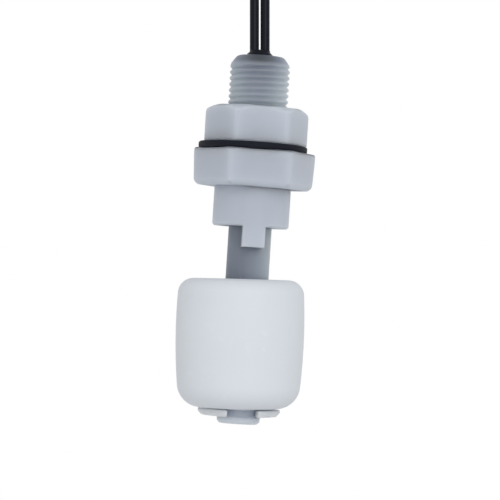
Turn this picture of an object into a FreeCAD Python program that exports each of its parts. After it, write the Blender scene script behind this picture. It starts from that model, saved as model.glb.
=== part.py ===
"""Miniature vertical float switch with a ring magnet float, built as a parametric document.

Frame: the origin is on the stem's axis, at the flange face that seals against the tank wall.
+Z points up, out of the tank, towards the leads. The stop lugs face -Y and +Y.
Every size is in millimetres and stands in the sheet "Sizes".
"""
import FreeCAD
import Part
import math
import os

import Sketcher

from FreeCAD import Placement, Rotation, Vector

SIZES = [
    # One moulding: threaded shank, hexagon flange, neck, stop lugs and closed stem.
    ("shank_diameter", 10.0, "outside of the M10 thread"),
    ("shank_length", 15.85, "above the flange's seal face"),
    ("shank_chamfer_width", 1.1, ""),
    ("shank_chamfer_height", 1.5, ""),
    ("flange_flats", 18.1, "across the flats at the seal face"),
    ("flange_thickness", 6.2, ""),
    ("flange_draft", 2.8, "degrees on each side"),
    ("flange_corner_radius", 1.3, ""),
    ("flange_edge", 0.65, "bevel of the lower edge"),
    ("flange_rim", 0.3, "bevel of the upper edge"),
    ("neck_diameter", 12.8, "under the flange"),
    ("neck_length", 6.55, ""),
    ("neck_edge", 0.3, "bevel of the lower edge"),
    ("lug_width", 3.7, ""),
    ("lug_length", 3.45, "below the neck"),
    ("lug_root", 0.6, "depth of each lug's foot inside the stem"),
    ("stem_diameter", 7.2, ""),
    ("stem_length", 45.6, "from the seal face to the closed end"),
    ("stem_edge", 0.45, "bevel of the closed end"),
    ("chamber_diameter", 4.6, "blind hole for the reed and the leads"),
    ("chamber_floor", 4.4, "solid end of the stem"),
    # Snap ring that holds the float on the stem.
    ("clip_diameter", 13.7, ""),
    ("clip_thickness", 1.1, ""),
    ("clip_opening", 5.2, ""),
    ("clip_edge", 0.6, "bevel of the outer lower edge"),
    ("clip_play", 0.05, "clearance in the groove, all round"),
    ("groove_diameter", 6.0, ""),
    ("groove_height", 1.15, "from the stem's end to the groove"),
    # Gasket and lock nut.
    ("gasket_diameter", 18.2, ""),
    ("gasket_thickness", 1.1, ""),
    ("gasket_play", 0.45, "on the shank's radius"),
    ("gasket_shift", 0.4, "sideways, towards -X, within that play"),
    ("gasket_edge", 0.2, "bevel"),
    ("nut_flats", 15.3, ""),
    ("nut_thickness", 6.15, ""),
    ("nut_corner_radius", 1.2, ""),
    ("nut_cone_diameter", 14.6, "where the top's cone starts"),
    ("nut_cone_drop", 1.4, "depth of the cone, one millimetre outside the corners"),
    ("nut_crown", 0.3, "bevel between the top and its cone"),
    ("nut_edge", 0.25, "bevel of the lower edge"),
    ("nut_play", 0.05, "thread clearance on the radius"),
    # Float: a cup, a welded lid and a ring magnet between them.
    ("float_diameter", 21.46, "at the waist"),
    ("float_height", 21.5, ""),
    ("float_waist", 13.0, "height of the widest place"),
    ("float_bulge_radius", 100.0, "of the barrel side"),
    ("float_foot_radius", 4.0, "lower corner"),
    ("float_crown_radius", 2.6, "upper corner"),
    ("float_bore", 9.3, ""),
    ("float_bore_edge", 0.4, "bevel at both ends"),
    ("float_wall", 1.3, ""),
    ("float_foot_step", 1.6, "extra wall inside the rounded foot"),
    ("float_side_slack", 0.2, "extra wall inside the barrel's narrow ends"),
    ("float_tube_wall", 0.9, ""),
    ("float_lid_thickness", 1.3, ""),
    ("float_seam_depth", 3.4, "from the top to the welded seam"),
    ("float_gap", 0.05, "between the clip and the float's lowest point"),
    ("float_top_shift", 0.94, "sideways, towards -X, of the bore's top"),
    ("float_foot_shift", 0.17, "sideways, towards -X, of the bore's foot"),
    ("magnet_thickness", 5.0, ""),
    ("magnet_diameter", 16.0, ""),
    ("magnet_play", 0.05, ""),
    ("magnet_ledge", 0.8, "step of the tube that carries the magnet"),
    # Reed contact and its wiring.
    ("glass_diameter", 1.8, ""),
    ("glass_length", 12.0, ""),
    ("glass_wall", 0.3, ""),
    ("glass_seal", 1.9, "solid length at each end"),
    ("blade_root", 2.85, "from the glass's end to where the pin turns flat"),
    ("glass_level", -24.0, "height of the contact gap"),
    ("blade_width", 0.9, ""),
    ("blade_thickness", 0.18, ""),
    ("blade_overlap", 1.0, ""),
    ("contact_gap", 0.08, ""),
    ("pin_diameter", 0.5, "round end of each reed blade"),
    ("pin_length", 4.0, "outside the glass"),
    ("sleeve_wall", 0.1, ""),
    ("sleeve_play", 0.08, ""),
    ("sleeve_overhang", 0.6, "beyond each end of the glass"),
    ("wire_diameter", 0.76, "bare conductor"),
    ("joint_diameter", 1.3, "solder bead"),
    ("joint_length", 2.6, ""),
    ("joint_play", 0.02, ""),
    ("shrink_wall", 0.12, ""),
    ("shrink_play", 0.03, ""),
    ("shrink_overhang", 1.4, "over the first lead's stripped end"),
    ("shrink_margin", 0.5, "beyond each end of a solder bead"),
    ("return_drop", 1.05, "from the lower bead to the second conductor's turn"),
    # Leads and the compound that seals them.
    ("lead_diameter", 1.56, ""),
    ("lead_spacing", 1.8, "between the two leads' centres"),
    ("seal_depth", 6.4, "below the shank's top"),
    ("seal_rise", 1.0, "collar above the shank's top"),
    ("seal_margin", 0.35, "collar outside the leads"),
    ("seal_taper", 0.2, "radius lost up the collar"),
    ("seal_dip", 0.25, "from the shank's top to the collar's root"),
    ("seal_play", 0.02, ""),
    ("hank_gap", 0.1, "above the ends of the straight stretch"),
    ("hank_width", 15.6, "across the sharp corners of its outline"),
    ("hank_waist", 10.0, "under the tie"),
    ("hank_depth", 9.2, ""),
    ("hank_height", 34.0, ""),
    ("hank_corner_radius", 6.0, ""),
    ("tie_width", 4.0, ""),
    ("tie_thickness", 0.8, ""),
    ("tie_play", 0.3, ""),
    ("tie_corner_radius", 0.5, ""),
    ("tip_diameter", 0.8, "twisted and tinned strands"),
    ("tip_length", 6.0, ""),
]

# Middle line of the pair of leads, as x and z: up the chamber, then leaning to the hank.
LEAD_ROUTE = [(0.47, -3.0), (0.47, 5.0), (-0.91, 27.0)]
LEAD_BEND = 0.45  # share of the shorter run that each arc takes
HANK_FRONT = -0.8  # y of the hank's front face
TIP_PLACES = [(-3.0, 7.4), (3.0, 7.4)]  # x and y of the bare ends on top of the hank

HEX_SIDE = 0.57735026919  # half a hexagon's corner width, as a share of its flats
FULL_TURN = 360.0
CUT_MARGIN = 1.0  # how far a cutting outline reaches outside what it cuts
EDGE_SLACK = 1.05  # factor on a radius when edges are picked by their reach
FOOT_STEPS = 4  # straight steps that follow each of the float's arcs
SIDE_STEPS = 2
CROWN_STEPS = 3


class Size:
    """A number together with the sheet formula that it comes from."""

    def __init__(self, value, text=None):
        self.value = float(value)
        self.text = text or f"{self.value:.9g}"

    def join(self, other, sign, value):
        return Size(value, f"({self.text} {sign} {as_size(other).text})")

    def __add__(self, other):
        return self.join(other, "+", self.value + as_size(other).value)

    def __sub__(self, other):
        return self.join(other, "-", self.value - as_size(other).value)

    def __mul__(self, other):
        return self.join(other, "*", self.value * as_size(other).value)

    def __truediv__(self, other):
        return self.join(other, "/", self.value / as_size(other).value)

    def __neg__(self):
        return self * -1


def as_size(number):
    return number if isinstance(number, Size) else Size(number)


def slope_angle(rise, length):
    """The angle, in degrees, whose sine is rise over length."""
    ratio = rise / length
    return Size(math.degrees(math.asin(ratio.value)), f"asin({ratio.text})")


def arc_points(x, y, radius, first, last, steps):
    """Points along an arc round x and y, from the first angle to the last."""
    points = []
    for step in range(steps + 1):
        angle = first + (last - first) * (step / steps)
        turned = math.radians(angle.value)
        along = radius * Size(math.cos(turned), f"cos({angle.text})")
        up = radius * Size(math.sin(turned), f"sin({angle.text})")
        points.append((x + along, y + up))
    return points


doc = FreeCAD.newDocument("FloatSwitch")


def make_sheet():
    """Write every size to the sheet and return them by name."""
    sheet = doc.addObject("Spreadsheet::Sheet", "Sizes")
    named = {}
    for row, (name, value, note) in enumerate(SIZES, start=1):
        sheet.set(f"A{row}", name)
        sheet.set(f"B{row}", str(value))
        sheet.set(f"C{row}", note)
        sheet.setAlias(f"B{row}", name)
        named[name] = Size(value, f"Sizes.{name}")
    doc.recompute()
    return named


size = make_sheet()


# ---------------------------------------------------------------- helpers


def new_body(label):
    body = doc.addObject("PartDesign::Body", label)
    body.Label = label
    return body


def bind(thing, **sizes):
    for field, amount in sizes.items():
        thing.setExpression(field, as_size(amount).text)


def new_sketch(body, name, role, level=None):
    """A sketch on one of the body's origin planes, raised along the plane's normal by level."""
    sketch = body.newObject("Sketcher::SketchObject", name)
    plane = next(f for f in body.Origin.OriginFeatures if f.Role == role)
    sketch.AttachmentSupport = [(plane, "")]
    sketch.MapMode = "FlatFace"
    if level is not None:
        sketch.AttachmentOffset = Placement(Vector(0, 0, as_size(level).value), Rotation())
        sketch.setExpression(".AttachmentOffset.Base.z", as_size(level).text)
    return sketch


def hold(sketch, geometry, point, x, y):
    """Fix a point of the sketch at x and y from its origin."""
    root = (-1, 1)
    for kind, axis, amount in (("DistanceX", -2, x), ("DistanceY", -1, y)):
        if isinstance(amount, Size):
            index = sketch.addConstraint(
                Sketcher.Constraint(kind, *root, geometry, point, amount.value)
            )
            sketch.setExpression(f"Constraints[{index}]", amount.text)
        elif amount == 0:
            sketch.addConstraint(Sketcher.Constraint("PointOnObject", geometry, point, axis))
        else:
            sketch.addConstraint(
                Sketcher.Constraint(kind, *root, geometry, point, float(amount))
            )


def outline(sketch, corners):
    """A closed outline of straight sides. A corner is (x, y), or (x, y, radius) if it is rounded."""
    points = [Vector(as_size(c[0]).value, as_size(c[1]).value, 0) for c in corners]
    count = len(corners)
    ends = []
    for i, corner in enumerate(corners):
        before, here, after = points[i - 1], points[i], points[(i + 1) % count]
        if len(corner) == 2:
            ends.append((here, here, None))
            continue
        back, ahead = (before - here).normalize(), (after - here).normalize()
        half = back.getAngle(ahead) / 2
        radius = as_size(corner[2]).value
        reach = radius / math.tan(half)
        middle = here + (back + ahead).normalize() * (radius / math.sin(half))
        ends.append((here + back * reach, here + ahead * reach, middle))
    sides = []
    for i in range(count):
        start, end = ends[i][1], ends[(i + 1) % count][0]
        sides.append(sketch.addGeometry(Part.LineSegment(start, end), False))
    for i, corner in enumerate(corners):
        arriving, leaving = sides[i - 1], sides[i]
        if len(corner) == 2:
            sketch.addConstraint(Sketcher.Constraint("Coincident", arriving, 2, leaving, 1))
            hold(sketch, leaving, 1, corner[0], corner[1])
            continue
        round_corner(sketch, arriving, leaving, points[i], ends[i], corner)


def round_corner(sketch, arriving, leaving, corner_point, ends, corner):
    """Join two sides with a tangent arc whose sharp corner stays where the sizes put it."""
    start, end, middle = ends
    radius = as_size(corner[2])
    bulge = middle + (corner_point - middle).normalize() * radius.value
    arc = sketch.addGeometry(Part.Arc(start, bulge, end), False)
    turns_left = (corner_point - start).cross(end - corner_point).z > 0
    first, last = (1, 2) if turns_left else (2, 1)
    sketch.addConstraint(Sketcher.Constraint("Tangent", arriving, 2, arc, first))
    sketch.addConstraint(Sketcher.Constraint("Tangent", leaving, 1, arc, last))
    index = sketch.addConstraint(Sketcher.Constraint("Radius", arc, radius.value))
    sketch.setExpression(f"Constraints[{index}]", radius.text)
    mark = sketch.addGeometry(Part.Point(corner_point), True)
    hold(sketch, mark, 1, corner[0], corner[1])
    sketch.addConstraint(Sketcher.Constraint("PointOnObject", mark, 1, arriving))
    sketch.addConstraint(Sketcher.Constraint("PointOnObject", mark, 1, leaving))


def circle(sketch, x, y, diameter):
    centre = Vector(as_size(x).value, as_size(y).value, 0)
    radius = as_size(diameter) / 2
    ring = sketch.addGeometry(Part.Circle(centre, Vector(0, 0, 1), radius.value), False)
    hold(sketch, ring, 3, x, y)
    index = sketch.addConstraint(Sketcher.Constraint("Radius", ring, radius.value))
    sketch.setExpression(f"Constraints[{index}]", radius.text)


def turn(body, name, corners, cut=False):
    """Revolve an outline in the XZ plane about the Z axis, to add or to cut material."""
    sketch = new_sketch(body, name + "_section", "XZ_Plane")
    outline(sketch, corners)
    feature = body.newObject("PartDesign::Groove" if cut else "PartDesign::Revolution", name)
    feature.Profile = sketch
    feature.ReferenceAxis = (sketch, ["V_Axis"])
    feature.Angle = FULL_TURN
    doc.recompute()
    return feature


def extrude(body, name, sketch, length, down=False, both_ways=False):
    pad = body.newObject("PartDesign::Pad", name)
    pad.Profile = sketch
    pad.Reversed = down
    pad.Midplane = both_ways
    bind(pad, Length=length)
    doc.recompute()
    return pad


def cut_through(body, name, sketch, both_ways=True):
    pocket = body.newObject("PartDesign::Pocket", name)
    pocket.Profile = sketch
    pocket.Type = "ThroughAll"
    pocket.Midplane = both_ways
    doc.recompute()
    return pocket


def hexagon(flats, corner_radius):
    """Corners of a hexagon with two flats facing -Y and +Y."""
    side = flats * HEX_SIDE
    half, flat = side / 2, flats / 2
    places = [(side, 0), (half, flat), (-half, flat), (-side, 0), (-half, -flat), (half, -flat)]
    return [(x, y, corner_radius) for x, y in places]


def rim(feature, level, outside=0.0, inside=1e6):
    """Names of the feature's edges that lie at one height, between two distances from the axis."""
    names = []
    for number, edge in enumerate(feature.Shape.Edges, start=1):
        box = edge.BoundBox
        if abs(box.ZMin - level.value) > 1e-3 or abs(box.ZMax - level.value) > 1e-3:
            continue
        reach = max(math.hypot(v.X, v.Y) for v in edge.Vertexes)
        if outside <= reach <= inside:
            names.append(f"Edge{number}")
    return names


def bevel_edges(body, name, base, edges, width):
    chamfer = body.newObject("PartDesign::Chamfer", name)
    chamfer.Base = (base, edges)
    bind(chamfer, Size=width)
    doc.recompute()
    return chamfer


# ---------------------------------------------------------------- heights

flange_foot = -size["flange_thickness"]
flange_middle = flange_foot / 2
neck_foot = flange_foot - size["neck_length"]
stem_foot = -size["stem_length"]
groove_foot = stem_foot + size["groove_height"]
groove_top = groove_foot + size["clip_thickness"] + size["clip_play"] * 2
clip_top = groove_foot + size["clip_play"] + size["clip_thickness"]
chamber_foot = stem_foot + size["chamber_floor"]
nut_foot = size["gasket_thickness"]
nut_top = nut_foot + size["nut_thickness"]
glass_top = size["glass_level"] + size["glass_length"] / 2
glass_foot = size["glass_level"] - size["glass_length"] / 2
strip_level = as_size(LEAD_ROUTE[0][1])
first_lead = as_size(LEAD_ROUTE[0][0]) - size["lead_spacing"] / 2
hank_foot = as_size(LEAD_ROUTE[-1][1]) + size["hank_gap"]
hank_middle = hank_foot + size["hank_height"] / 2
hank_top = hank_foot + size["hank_height"]


# ---------------------------------------------------------------- stem and its fittings


def make_stem():
    """The main moulding, turned first, then given its flange, lugs, chamber and groove."""
    body = new_body("stem_body")
    shank = size["shank_diameter"] / 2
    neck = size["neck_diameter"] / 2
    stem = size["stem_diameter"] / 2
    chamfer_foot = size["shank_length"] - size["shank_chamfer_height"]
    turn(body, "turned_form", [
        (0, size["shank_length"]),
        (shank - size["shank_chamfer_width"], size["shank_length"]),
        (shank, chamfer_foot),
        (shank, flange_middle),
        (neck, flange_middle),
        (neck, neck_foot + size["neck_edge"]),
        (neck - size["neck_edge"], neck_foot),
        (stem, neck_foot),
        (stem, stem_foot + size["stem_edge"]),
        (stem - size["stem_edge"], stem_foot),
        (0, stem_foot),
    ])
    flange = add_flange(body)
    lower = rim(flange, flange_foot, outside=neck.value * EDGE_SLACK)
    bevelled = bevel_edges(body, "flange_lower_edge", flange, lower, size["flange_edge"])
    upper = rim(bevelled, as_size(0), outside=neck.value * EDGE_SLACK)
    bevel_edges(body, "flange_rim", bevelled, upper, size["flange_rim"])
    add_lugs(body)
    chamber = size["chamber_diameter"] / 2
    turn(body, "chamber", [
        (0, size["shank_length"] + CUT_MARGIN),
        (chamber, size["shank_length"] + CUT_MARGIN),
        (chamber, chamber_foot),
        (0, chamber_foot),
    ], cut=True)
    turn(body, "clip_groove", [
        (size["groove_diameter"] / 2, groove_foot),
        (stem + CUT_MARGIN, groove_foot),
        (stem + CUT_MARGIN, groove_top),
        (size["groove_diameter"] / 2, groove_top),
    ], cut=True)
    return body


def add_flange(body):
    sketch = new_sketch(body, "flange_outline", "XY_Plane")
    outline(sketch, hexagon(size["flange_flats"], size["flange_corner_radius"]))
    flange = extrude(body, "flange", sketch, size["flange_thickness"], down=True)
    bind(flange, TaperAngle=-size["flange_draft"])
    doc.recompute()
    return flange


def add_lugs(body):
    """Two ribs below the neck that stop the rising float, flush with the neck."""
    sketch = new_sketch(body, "lug_outline", "XY_Plane", neck_foot)
    half, reach = size["lug_width"] / 2, size["neck_diameter"] / 2
    root = size["stem_diameter"] / 2 - size["lug_root"]
    start = -(math.pi / 2 + math.asin(half.value / reach.value))
    end = -(math.pi / 2 - math.asin(half.value / reach.value))
    left = Vector(-half.value, reach.value * math.sin(start), 0)
    right = Vector(half.value, left.y, 0)
    inner = -root.value
    face = sketch.addGeometry(
        Part.ArcOfCircle(Part.Circle(Vector(), Vector(0, 0, 1), reach.value), start, end), False
    )
    sides = [
        sketch.addGeometry(Part.LineSegment(right, Vector(half.value, inner, 0)), False),
        sketch.addGeometry(
            Part.LineSegment(Vector(half.value, inner, 0), Vector(-half.value, inner, 0)), False
        ),
        sketch.addGeometry(Part.LineSegment(Vector(-half.value, inner, 0), left), False),
    ]
    add = sketch.addConstraint
    add(Sketcher.Constraint("Coincident", face, 2, sides[0], 1))
    add(Sketcher.Constraint("Coincident", sides[0], 2, sides[1], 1))
    add(Sketcher.Constraint("Coincident", sides[1], 2, sides[2], 1))
    add(Sketcher.Constraint("Coincident", sides[2], 2, face, 1))
    add(Sketcher.Constraint("Coincident", face, 3, -1, 1))
    add(Sketcher.Constraint("Vertical", sides[0]))
    hold(sketch, sides[1], 1, half, -root)
    hold(sketch, sides[1], 2, -half, -root)
    add(Sketcher.Constraint("Vertical", sides[2]))
    index = add(Sketcher.Constraint("Radius", face, reach.value))
    sketch.setExpression(f"Constraints[{index}]", reach.text)
    lug = extrude(body, "lug", sketch, size["lug_length"], down=True)
    pair = body.newObject("PartDesign::PolarPattern", "lug_pair")
    pair.Originals = [lug]
    pair.Axis = (sketch, ["N_Axis"])
    pair.Angle = FULL_TURN
    pair.Occurrences = 2
    body.Tip = pair
    doc.recompute()
    return pair


def make_gasket():
    body = new_body("gasket")
    hole = size["shank_diameter"] / 2 + size["gasket_play"]
    outer = size["gasket_diameter"] / 2
    edge, thick = size["gasket_edge"], size["gasket_thickness"]
    turn(body, "ring", [
        (hole, 0),
        (outer - edge, 0),
        (outer, edge),
        (outer, thick - edge),
        (outer - edge, thick),
        (hole, thick),
    ])
    body.setExpression(".Placement.Base.x", (-size["gasket_shift"]).text)
    return body


def make_nut():
    """Hexagon lock nut with a coned and rounded top."""
    body = new_body("lock_nut")
    sketch = new_sketch(body, "nut_outline", "XY_Plane", nut_foot)
    outline(sketch, hexagon(size["nut_flats"], size["nut_corner_radius"]))
    block = extrude(body, "block", sketch, size["nut_thickness"])
    lower = rim(block, nut_foot)
    bevel_edges(body, "lower_edge", block, lower, size["nut_edge"])
    corner = size["nut_flats"] * HEX_SIDE + CUT_MARGIN
    cone = size["nut_cone_diameter"] / 2
    coned = turn(body, "cone", [
        (cone, nut_top),
        (corner, nut_top - size["nut_cone_drop"]),
        (corner, nut_top + CUT_MARGIN),
        (cone, nut_top + CUT_MARGIN),
    ], cut=True)
    bevel_edges(body, "crown", coned, rim(coned, nut_top), size["nut_crown"])
    hole = size["shank_diameter"] / 2 + size["nut_play"]
    turn(body, "thread_hole", [
        (0, nut_foot - CUT_MARGIN),
        (hole, nut_foot - CUT_MARGIN),
        (hole, nut_top + CUT_MARGIN),
        (0, nut_top + CUT_MARGIN),
    ], cut=True)
    return body


def make_clip():
    """Flat snap ring, open towards -Y, with a rounded lower rim."""
    body = new_body("retaining_clip")
    hole = size["groove_diameter"] / 2 + size["clip_play"]
    outer = size["clip_diameter"] / 2
    foot = groove_foot + size["clip_play"]
    turn(body, "ring", [
        (hole, foot),
        (outer - size["clip_edge"], foot),
        (outer, foot + size["clip_edge"]),
        (outer, clip_top),
        (hole, clip_top),
    ])
    sketch = new_sketch(body, "opening_outline", "XY_Plane")
    half = size["clip_opening"] / 2
    mouth = -(outer + CUT_MARGIN)
    outline(sketch, [(-half, mouth), (half, mouth), (half, 0), (-half, 0)])
    cut_through(body, "opening", sketch)
    return body


# ---------------------------------------------------------------- float


def float_blank(body):
    """The whole float's outside, with its foot at height zero: barrel, foot and crown arcs."""
    hole, height, edge = size["float_bore"] / 2, size["float_height"], size["float_bore_edge"]
    waist, bulge = size["float_waist"], size["float_bulge_radius"]
    foot, crown = size["float_foot_radius"], size["float_crown_radius"]
    down, up = Size(-FULL_TURN / 4, "-90 deg"), Size(FULL_TURN / 4, "90 deg")
    middle = size["float_diameter"] / 2 - bulge
    foot_end = slope_angle(foot - waist, bulge - foot)
    crown_start = slope_angle(height - crown - waist, bulge - crown)
    foot_x = arc_points(middle, waist, bulge - foot, foot_end, foot_end, 1)[0][0]
    crown_x = arc_points(middle, waist, bulge - crown, crown_start, crown_start, 1)[0][0]
    foot_arc = arc_points(foot_x, foot, foot, down, foot_end, FOOT_STEPS)
    side = arc_points(middle, waist, bulge, foot_end, crown_start, SIDE_STEPS)
    crown_arc = arc_points(crown_x, height - crown, crown, crown_start, up, CROWN_STEPS)
    return turn(body, "blank", [
        (hole + edge, 0),
        *foot_arc,
        *side[1:-1],
        *crown_arc,
        (hole + edge, height),
        (hole, height - edge),
        (hole, edge),
    ])


float_seam = size["float_height"] - size["float_seam_depth"]
float_tube = size["float_bore"] / 2 + size["float_tube_wall"]
float_hollow = size["float_diameter"] / 2 - size["float_wall"] - size["float_side_slack"]
lid_foot = size["float_height"] - size["float_lid_thickness"]
magnet_top = lid_foot - size["magnet_play"]
magnet_foot = magnet_top - size["magnet_thickness"]


def make_float_shell():
    """Cup with the bore's tube standing in it, its ledge carrying the magnet."""
    body = new_body("float_shell")
    float_blank(body)
    wide = size["float_diameter"] / 2 + CUT_MARGIN
    ledge = float_tube + size["magnet_ledge"]
    foot_hollow = float_hollow - size["float_foot_step"]
    turn(body, "open_top", [
        (0, size["float_height"] + CUT_MARGIN),
        (0, lid_foot),
        (float_hollow, lid_foot),
        (float_hollow, float_seam),
        (wide, float_seam),
        (wide, size["float_height"] + CUT_MARGIN),
    ], cut=True)
    turn(body, "hollow", [
        (float_tube, lid_foot + CUT_MARGIN),
        (float_tube, magnet_foot),
        (ledge, magnet_foot),
        (ledge, size["float_wall"]),
        (foot_hollow, size["float_wall"]),
        (foot_hollow, size["float_foot_radius"]),
        (float_hollow, size["float_foot_radius"]),
        (float_hollow, lid_foot + CUT_MARGIN),
    ], cut=True)
    return body


def make_float_cap():
    """Lid welded to the cup along a seam below the crown."""
    body = new_body("float_cap")
    float_blank(body)
    wide = size["float_diameter"] / 2 + CUT_MARGIN
    turn(body, "underside", [
        (0, -CUT_MARGIN),
        (wide, -CUT_MARGIN),
        (wide, float_seam),
        (float_hollow, float_seam),
        (float_hollow, lid_foot),
        (0, lid_foot),
    ], cut=True)
    return body


def make_magnet():
    body = new_body("float_magnet")
    hole = float_tube + size["magnet_play"]
    outer = size["magnet_diameter"] / 2
    foot, top = magnet_foot, magnet_top
    turn(body, "ring", [(hole, foot), (outer, foot), (outer, top), (hole, top)])
    return body


def hang_float(bodies):
    """Lean the float on its stem: it hangs loose, and its foot's low side rests on the clip."""
    top, foot = size["float_top_shift"], size["float_foot_shift"]
    lean = f"atan(({top.text} - {foot.text}) / {size['float_height'].text})"
    dip = f"{(size['clip_diameter'] / 2).text} * sin({lean})"
    for body in bodies:
        body.Placement = Placement(Vector(), Rotation(Vector(0, -1, 0), 1))
        body.setExpression(".Placement.Rotation.Angle", lean)
        body.setExpression(".Placement.Base.x", (-foot).text)
        body.setExpression(".Placement.Base.z", f"{(clip_top + size['float_gap']).text} + {dip}")


# ---------------------------------------------------------------- reed contact and wiring


def place_on_lead(bodies):
    """The contact hangs in line with the first lead, whose axis is the bodies' own Z axis."""
    for body in bodies:
        body.setExpression(".Placement.Base.x", first_lead.text)


def make_glass():
    """Glass tube drawn in round the pins at both ends, with its sealed space inside."""
    body = new_body("reed_glass")
    outer = size["glass_diameter"] / 2
    inner = outer - size["glass_wall"]
    pin = size["pin_diameter"] / 2 + size["joint_play"]
    neck = pin + size["glass_wall"]
    seal = size["glass_seal"]
    taper = seal / 2
    turn(body, "tube", [
        (pin, glass_top),
        (neck, glass_top),
        (outer, glass_top - taper),
        (outer, glass_foot + taper),
        (neck, glass_foot),
        (pin, glass_foot),
        (pin, glass_foot + seal),
        (inner, glass_foot + seal),
        (inner, glass_top - seal),
        (pin, glass_top - seal),
    ])
    return body


def make_blade(label, upper):
    """A reed blade: a round pin outside the glass, pressed flat inside it."""
    body = new_body(label)
    away = 1 if upper else -1
    end = glass_top if upper else glass_foot
    root = end - size["blade_root"] * away
    outer_end = end + size["pin_length"] * away
    flat_end = size["glass_level"] - size["blade_overlap"] / 2 * away
    offset = (size["blade_thickness"] + size["contact_gap"]) / 2 * away
    pin_sketch = new_sketch(body, label + "_pin_outline", "XY_Plane", root)
    circle(pin_sketch, 0, 0, size["pin_diameter"])
    extrude(body, label + "_pin", pin_sketch, (outer_end - root) * away, down=not upper)
    flat_sketch = new_sketch(body, label + "_flat_outline", "XY_Plane", root)
    half, thick = size["blade_width"] / 2, size["blade_thickness"] / 2
    outline(flat_sketch, [
        (-half, offset - thick),
        (half, offset - thick),
        (half, offset + thick),
        (-half, offset + thick),
    ])
    extrude(body, label + "_flat", flat_sketch, (root - flat_end) * away, down=upper)
    return body


def make_tube(label, inner, wall, low, high):
    body = new_body(label)
    outer = inner + wall
    turn(body, "tube", [(inner, low), (outer, low), (outer, high), (inner, high)])
    return body


def make_joint(label, pin_end, away):
    """Solder bead round the meeting ends of a reed pin and a conductor."""
    body = new_body(label)
    outer, half = size["joint_diameter"] / 2, size["joint_length"] / 2
    pin = size["pin_diameter"] / 2 + size["joint_play"]
    wire = size["wire_diameter"] / 2 + size["joint_play"]
    turn(body, "bead", [
        (pin, pin_end - half * away),
        (outer, pin_end - half * away),
        (outer, pin_end + half * away),
        (wire, pin_end + half * away),
        (wire, pin_end),
        (pin, pin_end),
    ])
    return body


def make_short_conductor(upper_end):
    body = new_body("conductor_a")
    sketch = new_sketch(body, "conductor_outline", "XY_Plane", upper_end)
    circle(sketch, 0, 0, size["wire_diameter"])
    extrude(body, "conductor", sketch, strip_level - upper_end)
    return body


def make_return_conductor(lower_end):
    """The second conductor passes the contact and turns up to its lower pin."""
    body = new_body("conductor_b")
    spacing = size["lead_spacing"]
    turn_level = lower_end - size["joint_length"] / 2 - size["return_drop"]
    path = new_sketch(body, "conductor_path", "XZ_Plane")
    places = [(spacing, strip_level), (spacing, turn_level), (as_size(0), turn_level),
              (as_size(0), lower_end)]
    points = [Vector(x.value, z.value, 0) for x, z in places]
    runs = [path.addGeometry(Part.LineSegment(start, end), False)
            for start, end in zip(points, points[1:])]
    for before, after in zip(runs, runs[1:]):
        path.addConstraint(Sketcher.Constraint("Coincident", before, 2, after, 1))
    hold(path, runs[0], 1, *places[0])
    for run, (x, z) in zip(runs, places[1:]):
        hold(path, run, 2, x, z)
    section = new_sketch(body, "conductor_section", "XY_Plane", strip_level)
    circle(section, spacing, 0, size["wire_diameter"])
    pipe = body.newObject("PartDesign::AdditivePipe", "conductor")
    pipe.Profile = section
    pipe.Spine = path
    pipe.Transition = "Right corner"
    doc.recompute()
    return body


def make_contact():
    """Reed contact, its sleeve, solder joints, shrink tubes and conductors."""
    upper_pin = glass_top + size["pin_length"]
    lower_pin = glass_foot - size["pin_length"]
    half_joint = size["joint_length"] / 2
    sleeve_bore = size["glass_diameter"] / 2 + size["sleeve_play"]
    overhang = size["sleeve_overhang"]
    wide_bore = size["lead_diameter"] / 2 + size["shrink_play"]
    slim_bore = size["joint_diameter"] / 2 + size["shrink_play"]
    shrink = size["shrink_overhang"]
    margin = size["shrink_margin"]
    bodies = [
        make_glass(),
        make_blade("reed_blade_upper", True),
        make_blade("reed_blade_lower", False),
        make_tube("reed_sleeve", sleeve_bore, size["sleeve_wall"],
                  glass_foot - overhang, glass_top + overhang),
        make_joint("solder_joint_upper", upper_pin, 1),
        make_joint("solder_joint_lower", lower_pin, -1),
        make_tube("heat_shrink_upper", wide_bore, size["shrink_wall"],
                  upper_pin - half_joint - margin, strip_level + shrink),
        make_tube("heat_shrink_lower", slim_bore, size["shrink_wall"],
                  lower_pin - half_joint - margin, lower_pin + half_joint + margin),
        make_short_conductor(upper_pin),
        make_return_conductor(lower_pin),
    ]
    place_on_lead(bodies)


# ---------------------------------------------------------------- leads


def lead_path(shift):
    """Straight runs joined by tangent arcs, moved sideways from the pair's middle line."""
    points = [Vector(x + shift, 0, z) for x, z in LEAD_ROUTE]
    edges = []
    start = points[0]
    for before, corner, after in zip(points, points[1:], points[2:]):
        back, ahead = before - corner, after - corner
        reach = LEAD_BEND * min(back.Length, ahead.Length)
        back.normalize()
        ahead.normalize()
        half_turn = (math.pi - back.getAngle(ahead)) / 2
        radius = reach / math.tan(half_turn)
        middle = corner + (back + ahead).normalize() * (radius / math.cos(half_turn))
        bulge = middle + (corner - middle).normalize() * radius
        end = corner + ahead * reach
        edges.append(Part.LineSegment(start, corner + back * reach).toShape())
        edges.append(Part.Arc(corner + back * reach, bulge, end).toShape())
        print(f"lead bend radius {radius:.1f} mm")
        start = end
    edges.append(Part.LineSegment(start, points[-1]).toShape())
    return Part.Wire(edges)


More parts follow.
